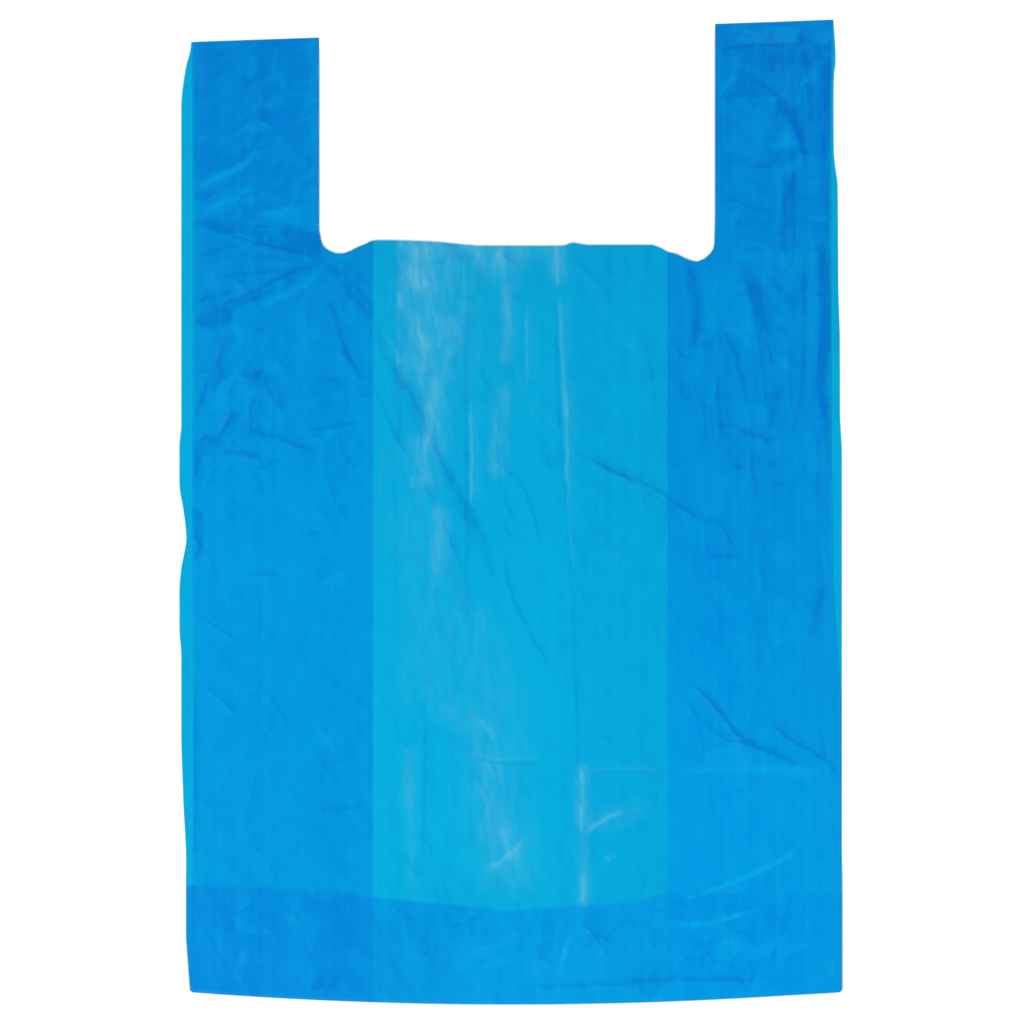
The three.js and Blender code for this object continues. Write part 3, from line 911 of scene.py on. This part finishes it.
def add_bake_map(mesh, film):
    """The map for baking: the front panel takes most of it, and the others lie beside it."""
    margin = 0.005
    along = np.concatenate([[0], np.cumsum(np.maximum(np.abs(np.diff(film.heights)), 0.4))])
    scale = (1 - 2 * margin) / along[-1]
    starts = [panel["girth"] for panel in film.panels]
    widths = np.diff(starts + [film.girth_total])
    right = 2 * margin + widths[0] * scale
    half = (1 - margin - right) / max(widths[3], sum(widths[1:3]) + sum(widths[4:]) + 3)
    half = min(half, (0.5 - margin) / along[-1])
    spots = {0: (margin, margin, scale), 3: (right, margin, half)}  # by panel: (u, v, scale)
    place = right
    for number in (1, 2, 4, 5):
        spots[number] = (place, 0.5 + margin, half * 0.98)
        place += (widths[number] + 1) * half
    loops = read_numbers(mesh.loops, "vertex_index")
    panel = np.repeat(film.panel_of, read_numbers(mesh.polygons, "loop_total"))
    column = film.column[loops]
    back_at_start = (panel == len(film.panels) - 1) & (column == 0)
    girth = np.where(back_at_start, film.girth_total, film.girth[column])
    corner = np.array([spots[n] for n in range(len(film.panels))])[panel]
    u = corner[:, 0] + (girth - np.array(starts)[panel]) * corner[:, 2]
    v = corner[:, 1] + along[film.row[loops]] * corner[:, 2]
    uv_map = mesh.uv_layers.new(name="OFBake")
    uv_map.data.foreach_set("uv", np.stack([u, v], axis=1).astype(np.float32).ravel())


def sharpen_folds(mesh, film):
    """Keeps the shading from running on round a fold from one layer to the next."""
    ends = read_numbers(mesh.edges, "vertices", width=2)
    one, other = film.column[ends.reshape(-1, 2)].T
    at_fold = (one == other) & np.isin(one, [panel["start"] for panel in film.panels])
    mesh.attributes.new("sharp_edge", "BOOLEAN", "EDGE").data.foreach_set("value", at_fold)


def make_film_mesh():
    film = Film()
    mesh = bpy.data.meshes.new(PIECE)
    mesh.from_pydata((film.points * MM).tolist(), [], film.faces)
    mesh.polygons.foreach_set("use_smooth", np.ones(len(mesh.polygons), bool))
    sharpen_folds(mesh, film)
    x, y = film.flat
    add_attribute(mesh, "side", np.maximum(TUCK_LEFT - x, x - TUCK_RIGHT))
    add_attribute(mesh, "flap", flap_edge(x) - y)
    outside = np.maximum(fold_place("front_left", y) - x, x - fold_place("front_right", y))
    add_attribute(mesh, "strip", outside)
    for name in ("shade", "milky_sheen", "patch", "patch_depth"):
        add_attribute(mesh, name, getattr(film, name))
    for half in range(2):
        channels = slice(3 * half, 3 * half + 3)
        add_attribute(mesh, f"crease_near_{half}", film.near[channels].T)
        add_attribute(mesh, f"crease_depth_{half}", film.depths[channels].T)
    add_bake_map(mesh, film)
    mesh.validate()
    mesh.update()
    return mesh


# --- The film's material -----------------------------------------------------------------------------


def colour(red, green, blue):
    """The film colour that looks like this, from 0 to 255, under the studio's light."""
    def linear(value):
        value /= 255
        return value / 12.92 if value <= 0.04045 else ((value + 0.055) / 1.055) ** 2.4

    return (*(linear(value) / STUDIO_LIGHT for value in (red, green, blue)), 1)


class Graph:
    """Adds nodes to a material and links them."""

    def __init__(self, name):
        self.material = bpy.data.materials.new(name)
        self.material.use_nodes = True
        self.tree = self.material.node_tree
        self.tree.nodes.clear()

    def node(self, kind, inputs=None, **settings):
        made = self.tree.nodes.new(kind)
        for name, value in settings.items():
            setattr(made, name, value)
        for name, value in (inputs or {}).items():
            if isinstance(value, bpy.types.NodeSocket):
                self.tree.links.new(value, made.inputs[name])
            else:
                made.inputs[name].default_value = value
        return made

    def surface(self, **inputs):
        """Ends in a Principled shader. Inputs' names have _ where the sockets have a space."""
        named = {name.replace("_", " "): value for name, value in inputs.items()}
        shader = self.node("ShaderNodeBsdfPrincipled", named)
        self.node("ShaderNodeOutputMaterial", {"Surface": shader.outputs[0]})
        return self.material

    def math(self, operation, *values):
        return self.node("ShaderNodeMath", dict(enumerate(values)), operation=operation).outputs[0]

    def vector(self, operation, *values):
        return self.node("ShaderNodeVectorMath", dict(enumerate(values)), operation=operation).outputs

    def add(self, *values):
        total = values[0]
        for value in values[1:]:
            total = self.math("ADD", total, value)
        return total

    def times(self, *values):
        product = values[0]
        for value in values[1:]:
            product = self.math("MULTIPLY", product, value)
        return product

    def centred(self, noise, amount):
        """Noise around 0 instead of 0.5, in that amount."""
        return self.times(self.math("SUBTRACT", noise, 0.5), amount)

    def above_zero(self, value):
        return self.math("MAXIMUM", value, 0)

    def ramp(self, value, start, end):
        """0 where value is `start`, and 1 where it is `end`, smoothly."""
        inputs = {"Value": value, "From Min": start, "From Max": end}
        return self.node("ShaderNodeMapRange", inputs, interpolation_type="SMOOTHSTEP").outputs[0]

    def between(self, share, a, b):
        """The number that lies between a and b by that share."""
        return self.node("ShaderNodeMix", {0: share, 2: a, 3: b}).outputs[0]

    def mix(self, share, a, b, blend="MIX"):
        """Colour a, with that share of colour b, or multiplied by it."""
        settings = {"data_type": "RGBA", "blend_type": blend, "clamp_factor": True}
        return self.node("ShaderNodeMix", {0: share, 6: a, 7: b}, **settings).outputs[2]

    def attribute(self, name, part="Fac"):
        return self.node("ShaderNodeAttribute", attribute_name=name).outputs[part]

    def parts(self, vector):
        return list(self.node("ShaderNodeSeparateXYZ", {0: vector}).outputs)

    def mapped(self, place, **inputs):
        return self.node("ShaderNodeMapping", {"Vector": place, **inputs}).outputs[0]

    def tones(self, place, rows):
        """A colour ramp through rows of (place, red, green, blue)."""
        made = self.node("ShaderNodeValToRGB", {0: place})
        elements = made.color_ramp.elements
        elements[0].position, elements[1].position = rows[0][0], rows[-1][0]
        elements[0].color, elements[1].color = colour(*rows[0][1:]), colour(*rows[-1][1:])
        for position, *shown in rows[1:-1]:
            elements.new(position).color = colour(*shown)
        return made.outputs[0]

    def noise(self, place, size_x, size_y, detail, turned=0.0, roughness=0.5):
        """Noise between 0 and 1 with grains of about size_x by size_y millimetres."""
        scaled = self.mapped(
            self.mapped(place, Rotation=(0, 0, turned)), Scale=(1 / (size_x * MM), 1 / (size_y * MM), 0)
        )
        inputs = {"Vector": scaled, "Scale": 1.0, "Detail": detail, "Roughness": roughness}
        return self.node("ShaderNodeTexNoise", inputs, normalize=True, noise_dimensions="2D").outputs[0]

    def facet_shading(self, place, size_x, size_y, turned):
        """Painted shade and light of a crumpled sheet: each facet runs from dark to pale, as if tilted to the
        light, with a sharp edge to the next.
        """
        size = size_x * MM
        bend = self.node(
            "ShaderNodeTexNoise", {"Vector": place, "Scale": 1 / size, "Detail": 2.0}, noise_dimensions="2D"
        ).outputs[1]
        push = FACET_BEND * size
        centred = self.vector("SUBTRACT", bend, (0.5, 0.5, 0.5))[0]
        bent = self.vector("MULTIPLY_ADD", centred, (push, push, 0), place)[0]
        spot = self.mapped(self.mapped(bent, Rotation=(0, 0, turned)), Scale=(1 / size, 1 / (size_y * MM), 0))
        cells = self.node(
            "ShaderNodeTexVoronoi", {"Vector": spot, "Scale": 1.0}, feature="F1", voronoi_dimensions="2D"
        )
        from_centre = self.vector("SUBTRACT", spot, cells.outputs["Position"])[0]
        way = self.vector("SUBTRACT", cells.outputs["Color"], (0.5, 0.5, 0.5))[0]
        return self.vector("DOT_PRODUCT", from_centre, way)[1]


def layered_colour_and_shade(graph, at):
    """The film's colour by how many layers lie on each other: darker where there are more. It also darkens
    towards the top, with painted shade.
    """
    middle, left, right = (graph.tones(at.height, rows) for rows in LAYER_AND_SHADE_TONES)
    sides = graph.mix(graph.ramp(at.x, -0.02, 0.02), left, right)
    base = graph.mix(graph.ramp(at.side, -0.5, 0.5), middle, sides)
    right_of_middle = graph.times(graph.ramp(at.x, 0.015, 0.05), at.in_middle, 0.4)
    base = graph.mix(right_of_middle, base, colour(1, 157, 215))
    base = graph.mix(graph.ramp(graph.attribute("strip"), -1.1, 0.5), base, colour(4, 168, 218))
    flap_tone = graph.mix(graph.ramp(at.x, -0.1, 0.0), colour(1, 132, 215), colour(1, 146, 223))
    return graph.mix(graph.times(at.on_flap, 0.75), base, flap_tone)


def sharp_creases(graph, at, mottle):
    """The sum of the fine creases, above zero where dark, for doubled film and painted shade, and below zero
    where pale, for painted highlights.
    """
    total = 0.0
    wobble = graph.centred(graph.noise(at.place, 6, 9, detail=1), 1.8)
    wobble = graph.node("ShaderNodeCombineXYZ", {0: wobble, 1: wobble, 2: wobble}).outputs[0]
    for half in range(2):
        straight = graph.attribute(f"crease_near_{half}", "Vector")
        near = graph.parts(graph.vector("ADD", straight, wobble)[0])
        depth = graph.parts(graph.attribute(f"crease_depth_{half}", "Vector"))
        for distance, amount in zip(near, depth):
            shape = graph.math("POWER", 1 / math.e, graph.times(distance, distance))
            total = graph.add(total, graph.times(shape, amount))
    return graph.times(total, graph.ramp(mottle, 0.1, 0.5))


def folded_zones_and_highlights(graph, at, mottle):
    """The patches, above zero where dark, for doubled film, and below zero where pale, for painted
    highlights.
    """
    edge_noise = graph.centred(graph.noise(at.place, 4, 6, detail=3), 1.0)
    patch_edge = graph.add(graph.attribute("patch"), edge_noise)
    zones = graph.times(graph.ramp(patch_edge, -0.45, 0.3), graph.attribute("patch_depth"))
    return graph.times(zones, graph.ramp(mottle, 0.15, 0.5))


def film_tone_and_shading(graph, at, mottle, grain):
    """Darker above zero and paler below: streaks from blowing the film, and painted shade and light along the
    sweeps of its drape and on its crumples.
    """
    streaks = graph.noise(at.place, 5, 500, detail=3)
    broad_streaks = graph.noise(at.place, 22, 900, detail=1)
    # The sweeps are painted shade and light along the drape's folds.
    left_sweep = graph.noise(at.place, 5, 26, detail=3, turned=1.0)
    middle_sweep = graph.noise(at.place, 4.5, 30, detail=3, turned=-0.5)
    right_sweep = graph.noise(at.place, 3.5, 40, detail=3, turned=-0.06)
    on_left_handle = graph.times(graph.ramp(at.height, 0.70, 0.82), graph.ramp(at.x, -0.07, -0.10))
    sweep = graph.between(graph.ramp(at.x, 0.07, 0.11), middle_sweep, right_sweep)
    sweep = graph.between(on_left_handle, sweep, left_sweep)
    in_handles = graph.ramp(at.height, 0.72, 0.85)
    # How much painted facet shading shows: more on the handles and the turned-up bottom.
    facet_shading_amount = graph.add(0.3, graph.times(in_handles, 0.13), graph.times(at.on_flap, 0.15))
    facet_shading_amount = graph.times(facet_shading_amount, graph.ramp(broad_streaks, 0.2, 0.6))
    return graph.add(
        graph.centred(streaks, 0.6),
        graph.centred(broad_streaks, 0.5),
        graph.centred(mottle, 0.45),
        graph.centred(grain, 0.12),
        graph.centred(sweep, graph.add(0.4, graph.times(at.in_middle, 0.2))),
        graph.times(graph.facet_shading(at.place, 22, 36, turned=-0.5), 1.7, facet_shading_amount),
        graph.times(graph.facet_shading(at.place, 8, 14, turned=0.3), 1.6, facet_shading_amount),
    )


def painted_milky_sheen(graph, at):
    """The painted milky sheen, broken up into clouds and wisps."""
    cloud = graph.noise(at.place, 8, 24, detail=3, roughness=0.6)
    wisps = graph.noise(at.place, 3.2, 18, detail=2, turned=-0.15)
    cloudy = graph.add(0.3, graph.times(graph.ramp(cloud, 0.36, 0.66), 0.7))
    wispy = graph.add(0.65, graph.times(graph.ramp(wisps, 0.3, 0.7), 0.65))
    return graph.times(graph.attribute("milky_sheen"), graph.times(cloudy, wispy))


def film_material():
    """Opaque film, on which what shows through the real one is painted by where it lies, with painted shade
    and highlights of its creases, crumples and drape, painted shade towards the top and a painted milky
    sheen.
    """
    graph = Graph("blue_film")
    place = graph.node("ShaderNodeTexCoord").outputs["Object"]
    x, y, _ = graph.parts(place)
    ends = {"From Min": LOW_END * MM, "From Max": HIGH_END * MM}
    side, flap = graph.attribute("side"), graph.attribute("flap")
    at = SimpleNamespace(
        place=place,
        x=x,
        height=graph.node("ShaderNodeMapRange", {"Value": y, **ends}).outputs[0],
        side=side,
        in_middle=graph.ramp(side, 0.5, -0.5),
        on_flap=graph.ramp(flap, -1.6, 1.6),
    )
    mottle = graph.noise(place, 12, 18, detail=4, roughness=0.6)
    grain = graph.noise(place, 1.6, 2.6, detail=2, roughness=0.7)
    creases = sharp_creases(graph, at, mottle)
    crease_shade_and_highlights = graph.add(creases, graph.attribute("shade"), folded_zones_and_highlights(graph, at, mottle))
    tone_and_shading = film_tone_and_shading(graph, at, mottle, grain)

    # Darker: doubled film, with painted shade, at creases and patches; streaks; painted shade of the drape
    # and crumples.
    dark = graph.add(graph.times(graph.above_zero(crease_shade_and_highlights), 0.95), graph.above_zero(tone_and_shading))
    # Painted highlights of pale ridges and patches.
    painted_highlights = graph.times(graph.above_zero(graph.times(crease_shade_and_highlights, -1)), 0.5)
    # Paler film between streaks, and painted light on the drape and crumples.
    pale_tone_and_light = graph.times(graph.above_zero(graph.times(tone_and_shading, -1)), 0.5)
    base = graph.mix(dark, layered_colour_and_shade(graph, at), (0.62, 0.72, 0.90, 1), blend="MULTIPLY")
    base = graph.mix(pale_tone_and_light, base, colour(7, 180, 228))
    # Painted highlights are whiter in the middle, off the turned-up bottom.
    whiter_highlight_place = graph.times(at.in_middle, graph.ramp(flap, 1.6, -1.6))
    highlight_tint = graph.mix(whiter_highlight_place, colour(6, 178, 234), colour(80, 188, 222))
    base = graph.mix(painted_highlights, base, highlight_tint)
    # A painted milky sheen: light reflected off the film where the middle layers part.
    base = graph.mix(graph.times(painted_milky_sheen(graph, at), 0.75), base, colour(104, 190, 220))

    # Relief finer than the mesh.
    fine_height = graph.add(graph.times(grain, 0.04), graph.times(mottle, 0.3), graph.times(creases, 0.25))
    bump = graph.node("ShaderNodeBump", {"Height": fine_height, "Strength": 1.0, "Distance": MM})
    rough = graph.node("ShaderNodeMapRange", {"Value": mottle, "To Min": 0.28, "To Max": 0.42})
    sockets = {"Normal": bump.outputs[0], "Roughness": rough.outputs[0]}
    return graph.surface(Base_Color=base, Specular_IOR_Level=0.025, **sockets)


# --- The scene ---------------------------------------------------------------------------------------


def add_object(name, data):
    made = bpy.data.objects.new(name, data)
    bpy.context.scene.collection.objects.link(made)
    return made


def make_bag():
    bag = add_object(PIECE, make_film_mesh())
    bag.data.materials.append(film_material())
    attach(bag, "root")
    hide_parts("bag_film")


def make_floor():
    half = 3.0
    mesh = bpy.data.meshes.new("floor")
    corners = [(-half, -half, 0), (half, -half, 0), (half, half, 0), (-half, half, 0)]
    mesh.from_pydata(corners, [], [(0, 1, 2, 3)])
    pale = Graph("pale_floor").surface(
        Base_Color=(0.93, 0.93, 0.93, 1), Roughness=0.8, Specular_IOR_Level=0.1
    )
    mesh.materials.append(pale)
    add_object("floor", mesh)


def make_light(name, place, size, power):
    """A soft round light that shines at the bag."""
    data = bpy.data.lights.new(name, "AREA")
    data.shape = "DISK"
    data.size = size
    data.energy = power
    light = add_object(name, data)
    light.location = place
    light.rotation_euler = (-Vector(place)).to_track_quat("-Z", "Y").to_euler()


def make_lights():
    """Soft lights all round, so that hardly any shadow shows. The strongest is at the bag's bottom."""
    make_light("key", (-0.9, -1.5, 1.7), 1.2, 42)
    make_light("right", (1.7, -0.4, 1.8), 1.4, 18)
    make_light("far", (0.8, 1.6, 1.8), 1.4, 18)
    make_light("left", (-1.6, 0.7, 1.8), 1.4, 18)
    world = bpy.data.worlds.new("studio")
    world.use_nodes = True
    background = world.node_tree.nodes["Background"]
    background.inputs["Color"].default_value = (1, 1, 1, 1)
    background.inputs["Strength"].default_value = 0.2
    bpy.context.scene.world = world


def make_camera():
    """Straight down on the bag, with the photograph's margins round it."""
    view = 1.04 * (HIGH_END - LOW_END) * MM  # width and height of what it sees
    data = bpy.data.cameras.new("camera")
    data.lens = 100
    data.sensor_width = 36
    camera = add_object("camera", data)
    camera.location = (0.0005, 0.0002, view * data.lens / data.sensor_width)
    bpy.context.scene.camera = camera


make_bag()
make_floor()
make_lights()
make_camera()
bpy.context.scene.view_settings.view_transform = "Standard"
